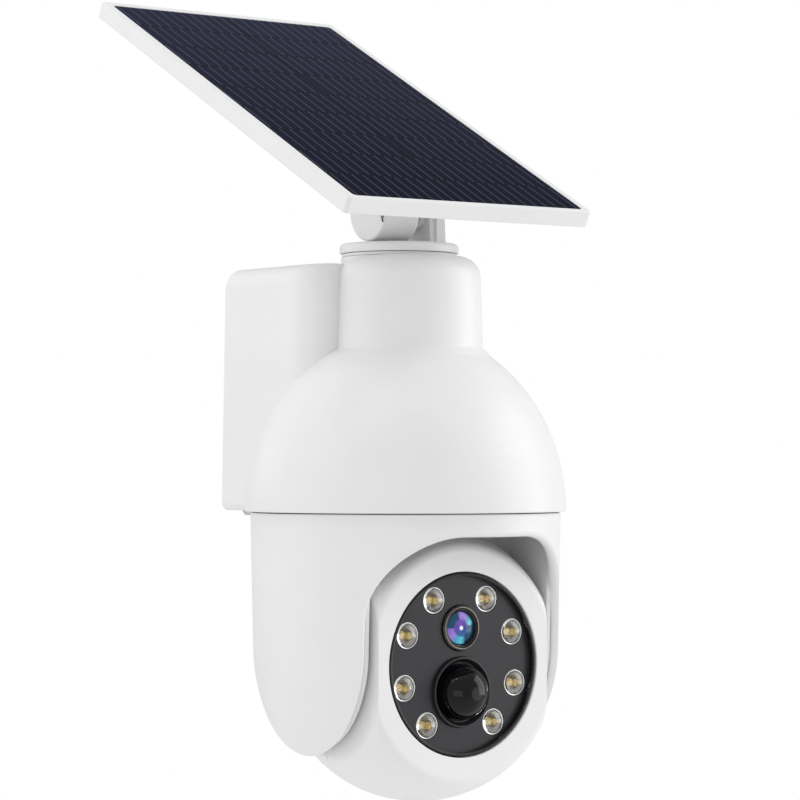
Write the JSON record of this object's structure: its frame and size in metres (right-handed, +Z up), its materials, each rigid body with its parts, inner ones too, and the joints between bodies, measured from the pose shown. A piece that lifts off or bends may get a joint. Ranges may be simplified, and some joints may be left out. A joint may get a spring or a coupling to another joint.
{
  "type": "solar-powered pan-and-tilt security camera",
  "caption": "Wall-mounted outdoor security camera: a domed housing with a battery box, a rotating yoke that holds a tilting ball with a lamp-ringed lens, and a hinged solar panel on top.",
  "frame": {"origin": "centre of the wall plate's back face", "axes": "+Y into the wall, +Z up, the lens looks along -Y"},
  "size_m": [0.118, 0.1879, 0.3038],
  "materials": {
    "white_plastic": "fine matt texture",
    "inner_plastic": "plain moulded",
    "black_gloss": "gloss",
    "black_plastic": "satin",
    "grey_rubber": "matt",
    "white_rubber": "matt",
    "nylon": "satin",
    "steel": "zinc plated",
    "brass": "turned",
    "circuit_board": "solder mask",
    "white_board": "white solder mask",
    "cell_wrap": "shrink sleeve",
    "clear_lens": "polished",
    "camera_glass": "coated and polished",
    "solar_cells": "laminated, satin gloss"
  },
  "bodies": {
    "housing": {"main_housing": "white_plastic", "wall_plate": "white_plastic", "plate_lock_screw": "steel", "base_plate": "inner_plastic", "rim_gasket": "grey_rubber", "pan_bearing": "nylon", "pan_motor": "steel", "battery_cell_left": "cell_wrap", "battery_cell_middle": "cell_wrap", "battery_cell_right": "cell_wrap", "battery_holder": "black_plastic", "main_board": "circuit_board", "wifi_antenna": "black_plastic", "speaker": "black_plastic", "charging_port": "steel", "switch_body": "black_plastic", "swivel_seal": "grey_rubber"},
    "power_switch": {"power_switch": "black_plastic"},
    "port_flap": {"port_flap": "white_rubber"},
    "yoke": {"yoke_shell": "white_plastic", "yoke_roof": "inner_plastic", "hub_retainer": "steel", "pan_output_shaft": "steel", "left_lobe_cover": "white_plastic", "right_lobe_cover": "white_plastic", "tilt_output_shaft": "steel", "right_pivot_bush": "nylon"},
    "head": {"ball_front_shell": "white_plastic", "ball_rear_shell": "white_plastic", "card_slot": "steel", "face_plate": "black_gloss", "led_lens_1": "clear_lens", "led_lens_2": "clear_lens", "led_lens_3": "clear_lens", "led_lens_4": "clear_lens", "led_lens_5": "clear_lens", "led_lens_6": "clear_lens", "led_lens_7": "clear_lens", "led_lens_8": "clear_lens", "led_board": "white_board", "lens_barrel": "black_plastic", "lens_glass": "camera_glass", "lens_ring": "black_gloss", "sensor_board": "circuit_board", "pir_bezel": "black_gloss", "pir_lens": "black_gloss", "pir_sensor": "steel", "tilt_motor": "steel", "right_pivot": "nylon"},
    "reset_button": {"reset_button": "black_plastic"},
    "service_cover": {"service_cover": "white_rubber"},
    "swivel": {"swivel_disc": "white_plastic", "swivel_nut": "nylon"},
    "clamp_screw": {"clamp_screw": "steel"},
    "panel": {"panel_frame": "white_plastic", "solar_laminate": "solar_cells", "panel_bracket": "white_plastic", "clamp_insert": "brass"}
  },
  "joints": [
    {"name": "head_pan", "type": "hinge", "parent": "housing", "child": "yoke", "pos_m": [0, -0.063, -0.044], "axis": [0, 0, 1], "range_deg": [-177.5, 177.5]},
    {"name": "head_tilt", "type": "hinge", "parent": "yoke", "child": "head", "pos_m": [0, -0.0705, -0.0985], "axis": [-1, 0, 0], "range_deg": [-90, 15]},
    {"name": "panel_swivel", "type": "hinge", "parent": "housing", "child": "swivel", "pos_m": [0, -0.059, 0.0495], "axis": [0, 0, 1], "range_deg": [-175, 175]},
    {"name": "panel_tilt", "type": "hinge", "parent": "swivel", "child": "panel", "pos_m": [0, -0.059, 0.0664], "axis": [1, 0, 0], "range_deg": [-40, 15]},
    {"name": "clamp_screw_turn", "type": "hinge", "parent": "swivel", "child": "clamp_screw", "pos_m": [0, -0.059, 0.0664], "axis": [1, 0, 0], "range_deg": [0, 270]},
    {"name": "power_switch_slide", "type": "slide", "parent": "housing", "child": "power_switch", "axis": [0, 0, 1], "range_m": [0, 0.0025]},
    {"name": "port_flap_hinge", "type": "hinge", "parent": "housing", "child": "port_flap", "pos_m": [0.0399, -0.005, 0], "axis": [0, 0, 1], "range_deg": [0, 95]},
    {"name": "service_cover_hinge", "type": "hinge", "parent": "head", "child": "service_cover", "pos_m": [0, -0.02483, -0.1212], "axis": [-1, 0, 0], "range_deg": [0, 100]},
    {"name": "reset_button_press", "type": "slide", "parent": "head", "child": "reset_button", "axis": [0, -1, 0], "range_m": [0, 0.0006], "stiffness_N_per_m": 400}
  ]
}
